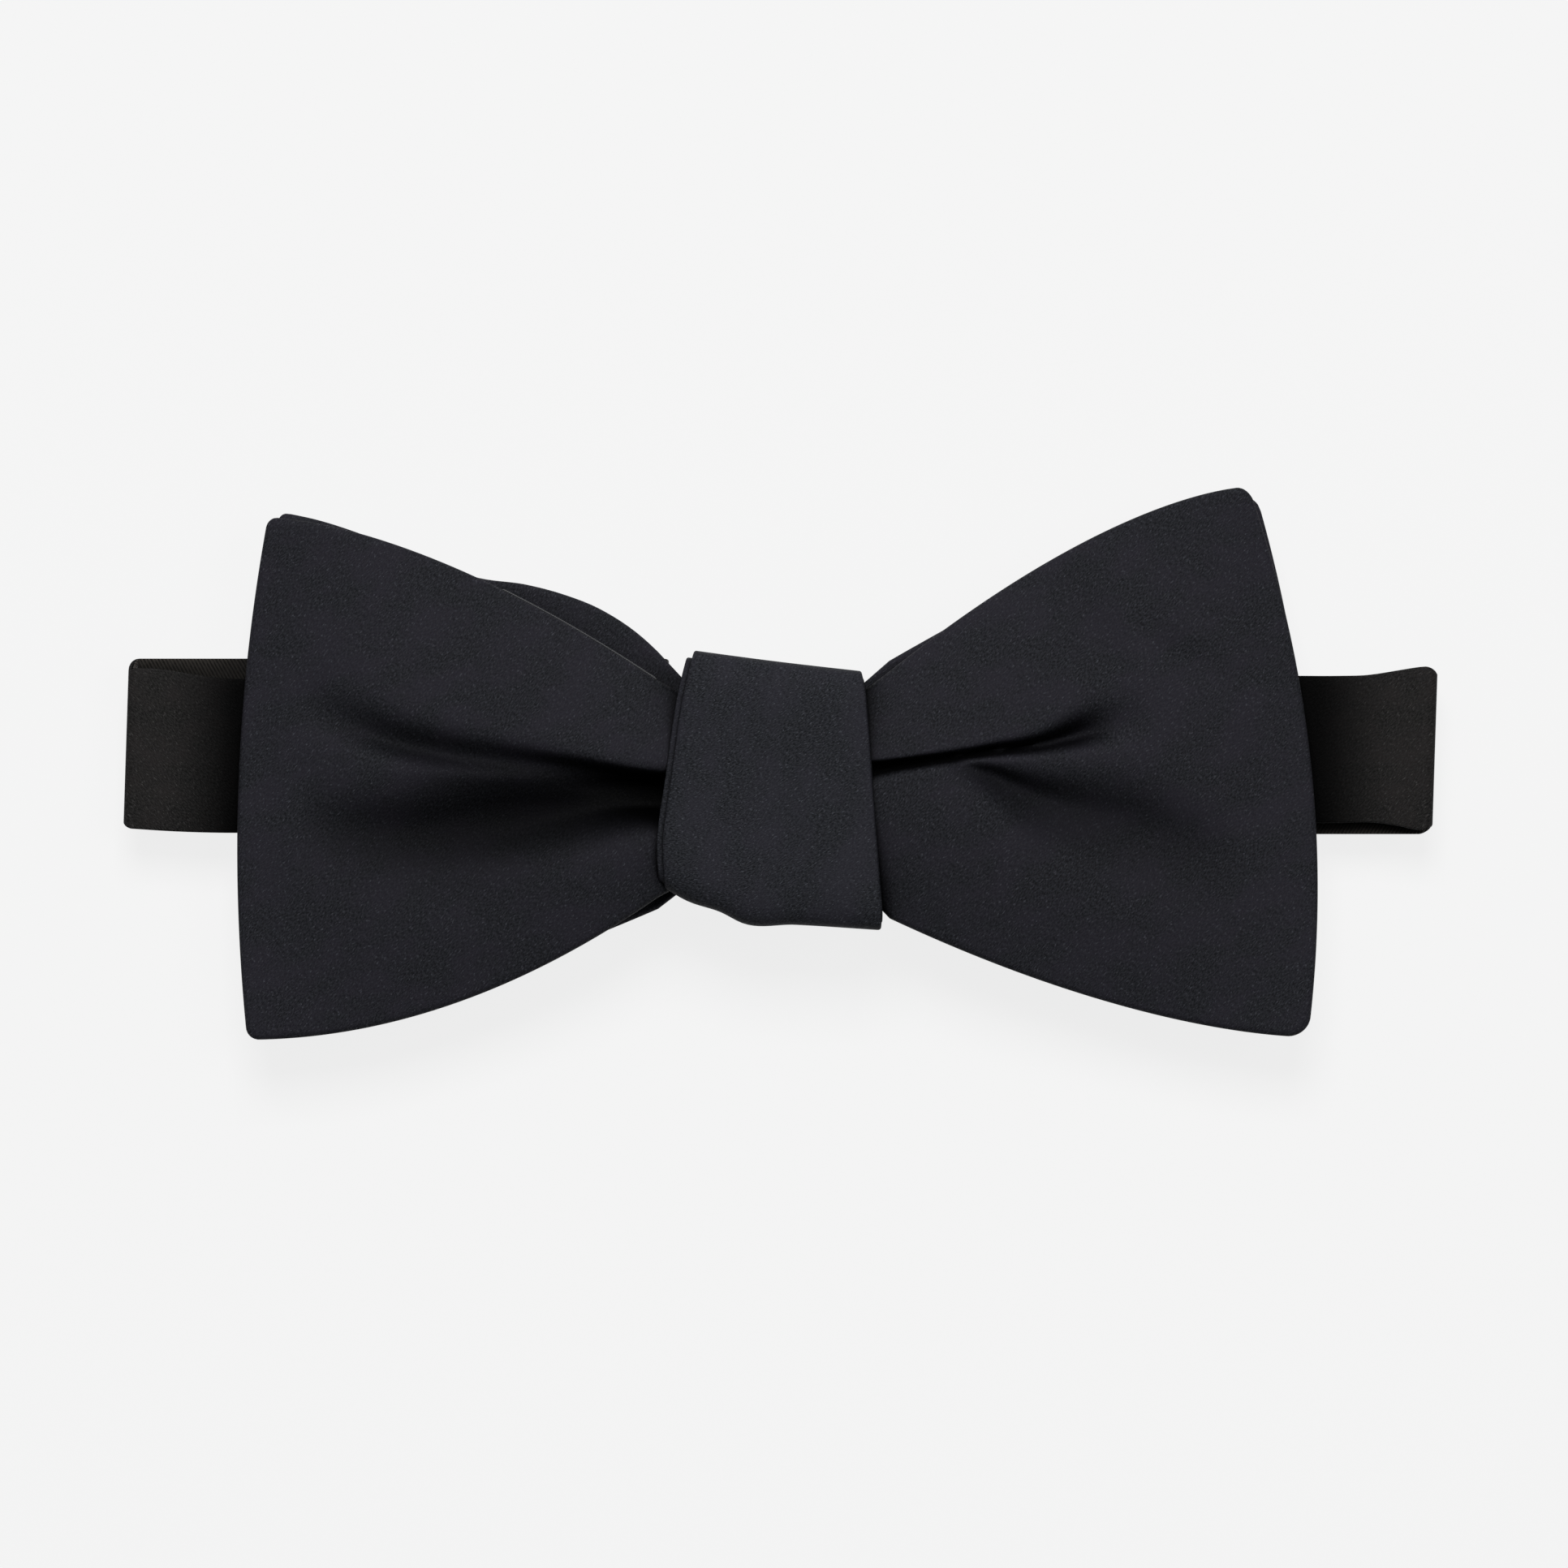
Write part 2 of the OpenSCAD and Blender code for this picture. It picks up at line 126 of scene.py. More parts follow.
def make_piece(name, grids, material, crease=50):
    """One closed mesh from grids of (points, uv, closed), welded where the grids meet. A third number
    in uv is painted shade, 0 to 1, and goes in a UV map of its own."""
    points = np.concatenate([g[0].reshape(-1, 3) for g in grids]) * MM
    uv = np.concatenate([g[1].reshape(-1, g[1].shape[-1]) for g in grids])
    starts = np.cumsum([0] + [g[0].shape[0] * g[0].shape[1] for g in grids])
    faces = np.concatenate(
        [grid_faces(*g[0].shape[:2], first, g[2]) for g, first in zip(grids, starts)]
    )
    mesh = bpy.data.meshes.new(name)
    mesh.from_pydata(points.tolist(), [], faces.tolist())
    corners = uv[faces.ravel()].astype(np.float32)
    mesh.uv_layers.new(name="cloth").data.foreach_set("uv", corners[:, :2].ravel())
    if uv.shape[1] == 3:
        mesh.uv_layers.new(name="painted_shade").data.foreach_set("uv", corners[:, [2, 2]].ravel())
    work = bmesh.new()
    work.from_mesh(mesh)
    bmesh.ops.remove_doubles(work, verts=work.verts, dist=2e-7)
    bmesh.ops.dissolve_degenerate(work, edges=work.edges, dist=1e-8)
    bmesh.ops.recalc_face_normals(work, faces=work.faces)
    if work.calc_volume(signed=True) < 0:
        bmesh.ops.reverse_faces(work, faces=work.faces)
    open_edges = sum(not e.is_manifold for e in work.edges)
    work.to_mesh(mesh)
    work.free()
    mesh.shade_smooth()
    mesh.set_sharp_from_angle(angle=np.radians(crease))
    mesh.materials.append(material)
    piece = bpy.data.objects.new(name, mesh)
    bpy.context.scene.collection.objects.link(piece)
    print(f"{name}: {len(mesh.polygons)} faces, {open_edges} open edges")
    return piece


def shell(name, outer, inner, uv, material, closed=False, crease=50):
    """Closed shell of cloth between two grids. Flat caps close the ends where they stand apart."""
    grids = [(outer, uv, closed), (inner, uv, closed)]
    for end in () if closed else (0, -1):
        if not np.allclose(outer[end], inner[end]):
            grids.append((np.stack([outer[end], inner[end]]), np.stack([uv[end], uv[end]]), False))
    return make_piece(name, grids, material, crease)


def normals(points, closed=False):
    """Unit normals of a grid: the cross product of its two directions, by central differences."""
    if closed:
        points = np.concatenate([points[-1:], points, points[:1]])
    along, across = np.gradient(points, axis=0), np.gradient(points, axis=1)
    n = np.cross(along, across)
    n = n / np.maximum(np.linalg.norm(n, axis=-1, keepdims=True), 1e-12)
    return n[1:-1] if closed else n


def thread(name, paths, radius, material, sides=6):
    """Round threads along paths: centre + radius (cos a, sin a) in the plane across each path."""
    grids = []
    for path in paths:
        path = np.array(path, float)
        ahead = np.gradient(path, axis=0)
        ahead /= np.linalg.norm(ahead, axis=1, keepdims=True)
        side = np.cross(ahead, np.where(np.abs(ahead[:, 2:3]) > 0.9, [[1.0, 0, 0]], [[0, 0, 1.0]]))
        side /= np.linalg.norm(side, axis=1, keepdims=True)
        up = np.cross(side, ahead)
        a = np.linspace(0, 2 * np.pi, sides + 1)[None, :, None]
        # The last ring at each end shrinks to a point, which closes the thread
        reach = radius * np.ones((len(path), 1, 1))
        reach[[0, -1]] = 0
        tube = path[:, None] + reach * (side[:, None] * np.cos(a) + up[:, None] * np.sin(a))
        far = np.concatenate([[0], np.cumsum(np.linalg.norm(np.diff(path, axis=0), axis=1))])
        uv = np.stack(np.broadcast_arrays(far[:, None], radius * a[..., 0]), -1)
        grids.append((tube, uv, False))
    return make_piece(name, grids, material, 80)


# %% [markdown]
# ## Cloths and metal
# Satin is woven with long floats, so it shines, but this one is almost black and slightly slubby:
# thicker bits of yarn make short light flecks, all in one direction. A procedural noise that is
# stretched along the yarn gives the flecks, and the same noise drives the bump, so that each fleck
# stands up and catches light. An image of cloth would tile and would not scale as well.

# %% A small helper for shader nodes
def shader_node(tree, kind, inputs=None, **settings):
    """Adds a node, and sets or links its inputs."""
    made = tree.nodes.new(kind)
    for key, value in settings.items():
        setattr(made, key, value)
    for key, value in (inputs or {}).items():
        if isinstance(value, bpy.types.NodeSocket):
            tree.links.new(value, made.inputs[key])
        else:
            made.inputs[key].default_value = value
    return made


def new_material(name):
    """An empty material and its Principled shader."""
    material = bpy.data.materials.new(name)
    material.use_nodes = True
    return material, material.node_tree, material.node_tree.nodes["Principled BSDF"]


def stretched_noise(tree, uv, turn, size, detail=2.0):
    """Noise on cloth coordinates: spots of a size in mm (along, across) whose long side is turned."""
    turned = shader_node(tree, "ShaderNodeMapping", {
        "Vector": uv, "Rotation": (0, 0, np.radians(turn)), "Scale": (size[0], size[1], 1)},
        vector_type="TEXTURE")
    noise = shader_node(tree, "ShaderNodeTexNoise", {
        "Vector": turned.outputs[0], "Scale": 1.0, "Detail": detail, "Roughness": 0.6},
        noise_dimensions="2D")
    return noise.outputs[0]


def spread(tree, value, start, end, low_out, high_out):
    """Maps a value from start..end to low_out..high_out, clamped."""
    made = shader_node(tree, "ShaderNodeMapRange", {
        "Value": value, "From Min": start, "From Max": end, "To Min": low_out, "To Max": high_out})
    return made.outputs[0]


def mixed(tree, factor, a, b):
    """Colour a where the factor is 0 and b where it is 1."""
    made = shader_node(tree, "ShaderNodeMix", {0: factor, 6: a, 7: b}, data_type="RGBA")
    return made.outputs[2]


def open_to_light(tree, reach, least, shares):
    """1 where the cloth is open to the room, down to least deep in a crease, where it shades itself.
    It comes from how much open space within reach (metres) each point sees: the first of the two
    shares gives least, and the second gives 1."""
    seen = shader_node(tree, "ShaderNodeAmbientOcclusion", {"Distance": reach}, samples=8)
    return spread(tree, seen.outputs["AO"], *shares, least, 1.0)


def painted_crease_shade(tree, least):
    """Painted shade: 1 in the open, down to least where the mesh's shade map marks a pleat or a wing."""
    painted_shade = shader_node(tree, "ShaderNodeSeparateXYZ", {
        0: shader_node(tree, "ShaderNodeUVMap", uv_map="painted_shade").outputs[0]})
    return spread(tree, painted_shade.outputs[0], 0.0, 1.0, 1.0, least)


def shaded(tree, colour, factor):
    """A colour multiplied by a factor."""
    grey = shader_node(tree, "ShaderNodeCombineColor", {0: factor, 1: factor, 2: factor})
    made = shader_node(tree, "ShaderNodeMix", {0: 1.0, 6: colour, 7: grey.outputs[0]},
                       data_type="RGBA", blend_type="MULTIPLY")
    return made.outputs[2]


def satin_cloth(name, colours, opening):
    """Near-black satin: fine yarn grain, scattered slubs, and blotches of tint some 6 mm across.
    Colours are dark, light and tint, and opening holds the last three values of open_to_light."""
    dark, light, tint = colours
    grain_turn = 50
    material, tree, bsdf = new_material(name)
    uv = shader_node(tree, "ShaderNodeUVMap", uv_map="cloth").outputs[0]
    grain = stretched_noise(tree, uv, grain_turn, (0.34, 0.13))
    slubs = stretched_noise(tree, uv, grain_turn, (0.50, 0.17), 3.0)
    blotch = stretched_noise(tree, uv, 20, (7.5, 5.0), 3.0)
    fleck = spread(tree, slubs, 0.62, 0.72, 0.0, 1.0)
    yarn = spread(tree, grain, 0.34, 0.68, 0.0, 1.0)
    base = mixed(tree, yarn, dark, light)
    base = mixed(tree, spread(tree, blotch, 0.40, 0.64, 0.0, 0.55), base, tint)
    base = mixed(tree, fleck, base, tuple(2.0 * c for c in light[:3]) + (1.0,))
    base = shaded(tree, base, open_to_light(tree, *opening))
    # Painted shade in the pleats and under the wings, read from the mesh's shade map
    base = shaded(tree, base, painted_crease_shade(tree, 0.07))
    height = shader_node(tree, "ShaderNodeMath", {0: yarn, 1: fleck}, operation="ADD").outputs[0]
    bump = shader_node(tree, "ShaderNodeBump", {"Height": height, "Strength": 0.4, "Distance": 0.00006})
    tree.links.new(base, bsdf.inputs["Base Color"])
    tree.links.new(spread(tree, grain, 0.3, 0.7, 0.66, 0.54), bsdf.inputs["Roughness"])
    tree.links.new(bump.outputs[0], bsdf.inputs["Normal"])
    bsdf.inputs["Specular IOR Level"].default_value = 0.03
    return material


def twill_cloth(name, dark, light, rib=0.36):
    """Brownish-black twill: slanting ribs with one dark gap for each rib width in mm."""
    material, tree, bsdf = new_material(name)
    uv = shader_node(tree, "ShaderNodeUVMap", uv_map="cloth").outputs[0]
    turned = shader_node(tree, "ShaderNodeMapping", {
        "Vector": uv, "Rotation": (0, 0, np.radians(30)), "Scale": (rib, rib, 1)},
        vector_type="TEXTURE")
    ribs = shader_node(tree, "ShaderNodeTexWave", {
        "Vector": turned.outputs[0], "Scale": np.pi / 10, "Distortion": 0.6, "Detail": 2.0,
        "Detail Scale": 1.5})
    fluff = stretched_noise(tree, uv, -60, (0.5, 0.25))
    base = mixed(tree, ribs.outputs["Fac"], dark, light)
    base = mixed(tree, spread(tree, fluff, 0.45, 0.75, 0.0, 0.5), base, light)
    height = shader_node(tree, "ShaderNodeMath", {0: ribs.outputs["Fac"], 1: fluff}, operation="ADD")
    bump = shader_node(tree, "ShaderNodeBump", {
        "Height": height.outputs[0], "Strength": 0.6, "Distance": 0.00008})
    base = shaded(tree, base, open_to_light(tree, 0.02, 0.25, (0.60, 0.97)))
    tree.links.new(base, bsdf.inputs["Base Color"])
    tree.links.new(spread(tree, fluff, 0.3, 0.7, 0.75, 0.6), bsdf.inputs["Roughness"])
    tree.links.new(bump.outputs[0], bsdf.inputs["Normal"])
    bsdf.inputs["Specular IOR Level"].default_value = 0.06
    bsdf.inputs["Sheen Weight"].default_value = 0.12
    return material


def sewing_thread(name, colour):
    """Polyester thread: a fine two-ply twist along its length."""
    material, tree, bsdf = new_material(name)
    uv = shader_node(tree, "ShaderNodeUVMap", uv_map="cloth").outputs[0]
    turned = shader_node(tree, "ShaderNodeMapping", {"Vector": uv, "Rotation": (0, 0, np.radians(35))})
    twist = shader_node(tree, "ShaderNodeTexWave", {"Vector": turned.outputs[0], "Scale": 1.6})
    bump = shader_node(tree, "ShaderNodeBump", {
        "Height": twist.outputs["Fac"], "Strength": 0.7, "Distance": 0.00006})
    shade = mixed(tree, twist.outputs["Fac"], tuple(0.5 * c for c in colour[:3]) + (1.0,), colour)
    tree.links.new(shade, bsdf.inputs["Base Color"])
    tree.links.new(bump.outputs[0], bsdf.inputs["Normal"])
    bsdf.inputs["Roughness"].default_value = 0.5
    bsdf.inputs["Sheen Weight"].default_value = 0.1
    return material


def satin_nickel(name):
    """Nickel plate brushed along the band, with duller, darker spots from handling."""
    material, tree, bsdf = new_material(name)
    place = shader_node(tree, "ShaderNodeTexCoord").outputs["Object"]
    brush = shader_node(tree, "ShaderNodeMapping", {"Vector": place, "Scale": (900, 9000, 9000)})
    lines = shader_node(tree, "ShaderNodeTexNoise", {
        "Vector": brush.outputs[0], "Scale": 1.0, "Detail": 3.0})
    spots = shader_node(tree, "ShaderNodeTexNoise", {"Vector": place, "Scale": 450.0, "Detail": 3.0})
    wear = spread(tree, spots.outputs[0], 0.45, 0.7, 0.0, 1.0)
    shade = mixed(tree, wear, (0.66, 0.64, 0.60, 1), (0.50, 0.47, 0.42, 1))
    rough = shader_node(tree, "ShaderNodeMath", {0: lines.outputs[0], 1: 0.35}, operation="MULTIPLY")
    rough = shader_node(tree, "ShaderNodeMath", {0: rough.outputs[0], 1: 0.12}, operation="ADD")
    bump = shader_node(tree, "ShaderNodeBump", {
        "Height": lines.outputs[0], "Strength": 0.15, "Distance": 0.00002})
    tree.links.new(shade, bsdf.inputs["Base Color"])
    tree.links.new(rough.outputs[0], bsdf.inputs["Roughness"])
    tree.links.new(bump.outputs[0], bsdf.inputs["Normal"])
    bsdf.inputs["Metallic"].default_value = 1.0
    return material


# %% The finishes
BOW_COLOURS = ((0.0072, 0.0075, 0.0090, 1), (0.0228, 0.0236, 0.0280, 1), (0.0198, 0.0180, 0.0246, 1))
# The knot's cloth is the bows' satin with its colours painted about an eighth lighter: painted light
KNOT_LIT_COLOURS = ((0.0074, 0.0079, 0.0095, 1), (0.0270, 0.0284, 0.0334, 1), (0.0230, 0.0220, 0.0290, 1))
BAND_COLOURS = ((0.0076, 0.0074, 0.0072, 1), (0.0222, 0.0213, 0.0208, 1), (0.0204, 0.0178, 0.0178, 1))
# How each cloth darkens where it is shut in: reach in metres, least, and the two shares
IN_CREASES = (0.008, 0.05, (0.46, 0.94))
BEHIND = (0.008, 0.55, (0.30, 0.75))
UNDER_WINGS = (0.02, 0.22, (0.60, 0.97))

bow_satin = satin_cloth("bow_satin", BOW_COLOURS, IN_CREASES)
rear_satin = satin_cloth("rear_satin", BOW_COLOURS, BEHIND)
knot_satin = satin_cloth("knot_satin", KNOT_LIT_COLOURS, IN_CREASES)
band_satin = satin_cloth("band_satin", BAND_COLOURS, UNDER_WINGS)
twill = twill_cloth("lining_twill", (0.0060, 0.0051, 0.0043, 1), (0.0400, 0.0350, 0.0300, 1))
black_thread = sewing_thread("black_thread", (0.012, 0.012, 0.014, 1))
# A grey thread that is a painted highlight along the left wing's top edge
painted_highlight_thread = sewing_thread("painted_highlight_thread", (0.038, 0.038, 0.042, 1))
nickel = satin_nickel("satin_nickel")
print("finishes", [m.name for m in bpy.data.materials])

# %% [markdown]
# ## The bows
# Each bow is two plies of satin with interlining between, turned right side out, so its edge is a
# soft roll and not a cut. Seen from the front a wing is a rough rectangle whose top and bottom run
# in towards the knot along power curves, and whose outer edge bulges. The corners are rounded by
# bending a square grid into a quarter circle, which keeps every row of points unbroken.

# %% Plan of a wing
class Wing:
    """Plan of one wing in mm: its outer corners, the bulge of its outer edge, the powers of its top
    and bottom curves, the height of its top and bottom at the knot, and its corner radii. A top that
    is no power curve is given as points: places along the wing, and their heights."""

    def __init__(self, top, bottom, bulge, powers, mouth, radii, top_points=None):
        self.top, self.bottom, self.bulge = top, bottom, bulge
        self.powers, self.mouth, self.radii, self.top_points = powers, mouth, radii, top_points

    def top_y(self, s):
        """The top curve: through its points, or reaching the knot as s to a power."""
        if self.top_points:
            return through(s, *self.top_points)
        return mix(self.top[1], self.mouth[0], s ** self.powers[0])

    def bottom_y(self, s):
        """The bottom curve, which reaches the knot as s to a power."""
        return mix(self.bottom[1], self.mouth[1], s ** self.powers[1])

    def point(self, s, v, mouth_x):
        """x = mix(outer edge, mouth, s), y = mix(bottom curve, top curve, v); the outer edge bulges
        as 4 v (1 - v)."""
        outer_x = mix(self.bottom[0], self.top[0], v) + self.bulge * 4 * v * (1 - v)
        return mix(outer_x, mouth_x, s), mix(self.bottom_y(s), self.top_y(s), v)


def round_corners(p, q, span, radii):
    """Pulls grid points into rounded corners. p is the distance from the outer edge, q from the
    bottom, span the distance from bottom to top. In each corner square, offsets a and b from the
    centre of the arc become a sqrt(1 - b^2 / 2r^2) and b sqrt(1 - a^2 / 2r^2). Gives the new p and q
    and the distance to the nearest edge."""
    edge = np.minimum(p, np.minimum(q, span - q))
    for r, upper in zip(radii, (True, False)):
        from_edge = span - q if upper else q
        a, b = np.clip(r - p, 0, r), np.clip(r - from_edge, 0, r)
        a2, b2 = a * np.sqrt(1 - b**2 / (2 * r**2)), b * np.sqrt(1 - a**2 / (2 * r**2))
        inside = (a > 0) & (b > 0)
        edge = np.where(inside, r - np.hypot(a2, b2), edge)
        p = np.where(inside, r - a2, p)
        moved = np.where(inside, r - b2, from_edge)
        q = span - moved if upper else moved
    return p, q, np.maximum(edge, 0)


# %% [markdown]
# A pleat is a valley in the cloth that starts deep at the knot and fades towards the edge. Its
# sides differ: one is steep, where the cloth above hangs over the crease, and the other is an easy
# slope. So a pleat is a path with a depth and two widths at each of its points, and the valley's
# cross section is a bell curve, depth * exp(-(distance / width)^2).

# %% Pleats and hollows
def pleat_depth(x, y, rows):
    """Depth at x, y of a pleat given by rows of (x, y, depth, width above, width below)."""
    rows = np.array(sorted(rows))
    line, depth, above, below = [through(x, rows[:, 0], rows[:, k]) for k in (1, 2, 3, 4)]
    off = y - line
    width = np.where(off > 0, above, below)
    inside = ease(x, rows[0, 0] - 4, rows[0, 0]) * ease(-x, -rows[-1, 0] - 4, -rows[-1, 0])
    return np.maximum(depth, 0) * np.exp(-((off / width) ** 2)) * inside


def hollow_depth(x, y, centre, reach, turn, depth):
    """Depth of a soft oval hollow: a bell curve with two reaches, turned by some degrees."""
    c, s = np.cos(np.radians(turn)), np.sin(np.radians(turn))
    a = ((x - centre[0]) * c + (y - centre[1]) * s) / reach[0]
    b = (-(x - centre[0]) * s + (y - centre[1]) * c) / reach[1]
    return depth * np.exp(-(a**2) - b**2)


# Rows of (x, y, depth, width above, width below) in mm, from the outer edge to the knot or back
LEFT_PLEATS = [
    [(-54, 6.4, 0.0, 3.5, 2.5), (-49, 4.6, 1.0, 2.8, 2.0), (-43, 2.4, 2.0, 2.4, 1.6),
     (-36, 1.0, 2.0, 1.9, 1.6), (-29, 0.2, 2.0, 1.4, 1.6), (-22, -0.6, 2.2, 0.9, 2.0),
     (-16, -1.5, 2.6, 0.6, 2.4), (-11, -2.2, 3.0, 0.5, 2.6)],
    [(-47, -2.4, 0.0, 3.0, 4.5), (-41, -2.6, 0.3, 3.0, 4.5), (-36, -2.8, 1.0, 2.6, 4.4),
     (-29, -2.9, 1.8, 2.3, 4.2), (-22, -3.0, 2.3, 2.0, 3.4), (-16, -3.2, 2.6, 1.6, 2.6),
     (-11, -3.4, 2.8, 1.4, 2.2)],
    [(-54, -6.6, 0.0, 4.0, 4.0), (-47, -7.2, 1.4, 3.4, 4.6), (-40, -7.4, 2.3, 3.5, 4.6),
     (-33, -7.0, 2.7, 3.5, 4.4), (-26, -6.2, 2.7, 3.2, 4.0), (-20, -5.2, 2.6, 2.7, 3.4),
     (-15, -4.4, 2.6, 2.2, 2.8), (-11, -3.8, 2.6, 2.0, 2.4)],
]
RIGHT_PLEATS = [
    [(9, -0.6, 2.8, 0.4, 0.8), (16, 0.4, 2.2, 0.35, 0.7), (23, 1.4, 2.0, 0.5, 0.7),
     (29, 2.1, 2.2, 1.0, 0.8), (33.4, 3.2, 2.6, 1.9, 1.2), (37, 4.2, 1.2, 2.4, 1.6),
     (41, 5.0, 0.0, 2.4, 2.0)],
    [(18, 0.2, 0.0, 0.6, 1.0), (23, -1.2, 1.8, 1.0, 2.4), (28, -3.4, 2.4, 1.9, 4.2),
     (33, -5.0, 2.3, 2.9, 5.2), (39, -6.6, 2.0, 3.8, 5.8), (45, -9.0, 1.2, 4.2, 5.6),
     (52, -12, 0.0, 4.4, 5.4)],
]
# How much shade is painted into each pleat's cloth for each mm of its depth
CREASE_SHADE = (0.25, 0.85, 0.55, 0.0, 0.27)
# Centre, reach along and across, turn in degrees and depth
HOLLOWS = [((44.5, 11.8), (5.0, 1.9), -30, 0.55), ((34.5, 14.5), (7.0, 2.6), -65, 0.55),
           ((-36, -15), (9, 3), -8, 0.25)]


# %% [markdown]
# One function makes either bow, from its left edge through the pinched waist inside the knot to
# its right edge. The front bow swells like a thin cushion; the rear bow lies flat behind it. The
# outer sheet is lifted by the swell and pressed down by the pleats, and is never let through the
# inner sheet. A cloth simulation could swell the wings too, but each pleat has a place to keep, and
# a surface that is worked out point by point puts it exactly there.

# %% A bow
MOUTHS = (-13.6, 12.1)
WAIST = (6.0, -11.5)
EDGE_ROLL = 0.6
# The swell begins a hair inside the rim, so that the two sheets meet on it
RIM = 0.05
# Pleats and hollows fade out over this distance from an edge
FADE = 3
# A raised edge's inner sheet is back at the bow's underside this far in
INNER_DROP = 5
# The edges start to rise at this place along the wing
RISE_START = 0.4


def bow_plan(left, right, per_wing, through_waist, rows):
    """Plan, edge distance, station along the wing and place across for a whole bow, as grids."""
    parts = []
    for wing, mouth_x in zip((left, right), MOUTHS):
        length = abs(mouth_x - (wing.top[0] + wing.bottom[0]) / 2)
        p = rolled_steps(2 * length, EDGE_ROLL, 5, 2 * per_wing)
        p = p[p <= length + 1e-9][:, None]
        span = wing.top_y(p / length) - wing.bottom_y(p / length)
        arc = EDGE_ROLL * (1 - np.cos(np.linspace(0, np.pi / 2, 6)))
        inside = np.linspace(0, 1, rows + 1)[1:-1]
        q = np.concatenate([arc + 0 * span, EDGE_ROLL + (span - 2 * EDGE_ROLL) * inside,
                            span - arc[::-1]], axis=1)
        new_p, new_q, edge = round_corners(p + 0 * q, q, span + 0 * q, wing.radii)
        s = new_p / length
        v = new_q / (wing.top_y(s) - wing.bottom_y(s))
        x, y = wing.point(s, v, mouth_x)
        parts.append([x, y, edge, s, v])
    t = np.linspace(0, 1, through_waist + 2)[1:-1, None]
    pinch = np.sin(np.pi * t) ** 0.7
    v = parts[0][4][-1][None, :]
    top = mix(mix(left.top_y(1.0), right.top_y(1.0), t), WAIST[0], pinch)
    bottom = mix(mix(left.mouth[1], right.mouth[1], t), WAIST[1], pinch)
    y = mix(bottom, top, v)
    edge = np.minimum(y - bottom, top - y)
    waist = [mix(*MOUTHS, t) + 0 * y, y, edge, 1 + 0 * y, v + 0 * y]
    return [np.concatenate([parts[0][k], waist[k], parts[1][k][::-1]]) for k in range(5)]


def make_bow(name, cloth, left, right, bottom_z, thickness, puff, rise, pleats, hollows, counts):
    """A closed bow. Its edges rise towards the knot by rise, and between them the outer sheet swells
    by puff, as ease(s) along the wing times a sine across it, while the inner one stays low. Pleats
    are pairs of rows and painted shade per mm, and counts are the last three values of bow_plan."""
    x, y, edge, s, v = bow_plan(left, right, *counts)
    half = thickness / 2 * roll(edge, EDGE_ROLL)
    middle = bottom_z + thickness / 2
    across = np.sin(np.pi * np.clip(v, 0, 1)) ** 0.9 * np.minimum(1, edge / RIM)
    lifted_edge = rise * ease(s, RISE_START, 1.0)
    lift = puff * ease(s, 0, 0.4) * across + lifted_edge
    # Shade painted into the colour, deepest where the pleats are deepest
    painted_shade = 0 * x
    for rows, shade_per_mm in pleats:
        depth = pleat_depth(x, y, rows) * ease(edge, 0, FADE)
        lift = lift - depth
        painted_shade = painted_shade + shade_per_mm * depth
    for hollow in hollows:
        lift = lift - hollow_depth(x, y, *hollow) * ease(edge, 0, FADE)
    # The outer sheet stays a ply above the inner one
    lowest = -0.45 * thickness
    lift = np.where(lift < 0, lowest * (1 - np.exp(-lift / lowest)), lift)
    outer = np.stack([x, y, middle + half + lift], -1)
    inner = np.stack([x, y, middle - half + lifted_edge * (1 - ease(edge, 0, INNER_DROP))], -1)
    piece = shell(name, outer, inner, np.stack([x, y, 1 - np.exp(-painted_shade)], -1), cloth, crease=70)
    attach(piece, "bow")
    return piece


front_left = Wing((-56.9, 27.3), (-59.2, -30.7), -2.1, (1.6, 2.0), (9.2, -14.9), (1.1, 1.3))
front_right = Wing((52.0, 30.7), (58.6, -30.4), 3.6, (1.55, 1.65), (10.2, -17.2), (1.6, 2.2))
rear_left = Wing((-55.8, 28.1), (-58.4, -30.0), -1.9, (1.4, 1.4), (11.4, -16.2), (1.4, 1.4),
                 ((0, 0.1, 0.25, 0.41, 0.53, 0.65, 0.75, 0.85, 0.97, 1.0),
                  (28.0, 27.1, 25.0, 22.2, 20.6, 19.9, 18.8, 17.1, 13.6, 12.4)))
rear_right = Wing((53.0, 29.6), (58.2, -29.7), 3.0, (1.3, 1.5), (11.4, -16.6), (1.4, 1.6))

front_bottom = low("front_bow_back")[2]
front_thickness = 1.5
front_puff = 2.4
front_rise = 2.0
front_bow = make_bow("front_bow", bow_satin, front_left, front_right, front_bottom, front_thickness,
                     front_puff, front_rise, list(zip(LEFT_PLEATS + RIGHT_PLEATS, CREASE_SHADE)), HOLLOWS,
                     (95, 10, 130))
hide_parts("front_bow_face", "front_bow_interlining", "front_bow_back")

# A thin grey thread along the inner part of the left wing's top edge, just proud of the rolled rim,
# is a painted highlight: the light line where that rim catches the lamp
highlight_r = 0.10
highlight_out, highlight_up = 0.02, 0.12
highlight_s = np.linspace(0.60, 1.0, 60)
highlight_x, highlight_y = front_left.point(highlight_s, 1.0, MOUTHS[0])
highlight_z = front_bottom + 0.5 * front_thickness + front_rise * ease(highlight_s, RISE_START, 1.0)
highlight_path = np.stack([highlight_x, highlight_y + highlight_out, highlight_z + highlight_up], -1)
edge_highlight = thread("left_edge_highlight", [highlight_path], highlight_r, painted_highlight_thread)
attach(edge_highlight, "bow")

rear_bottom = low("rear_bow_back")[2]
rear_thickness = 1.4
rear_bow = make_bow("rear_bow", rear_satin, rear_left, rear_right, rear_bottom, rear_thickness,
                    0.0, 0.0, [], [], (50, 8, 60))
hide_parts("rear_bow_face", "rear_bow_interlining", "rear_bow_back")

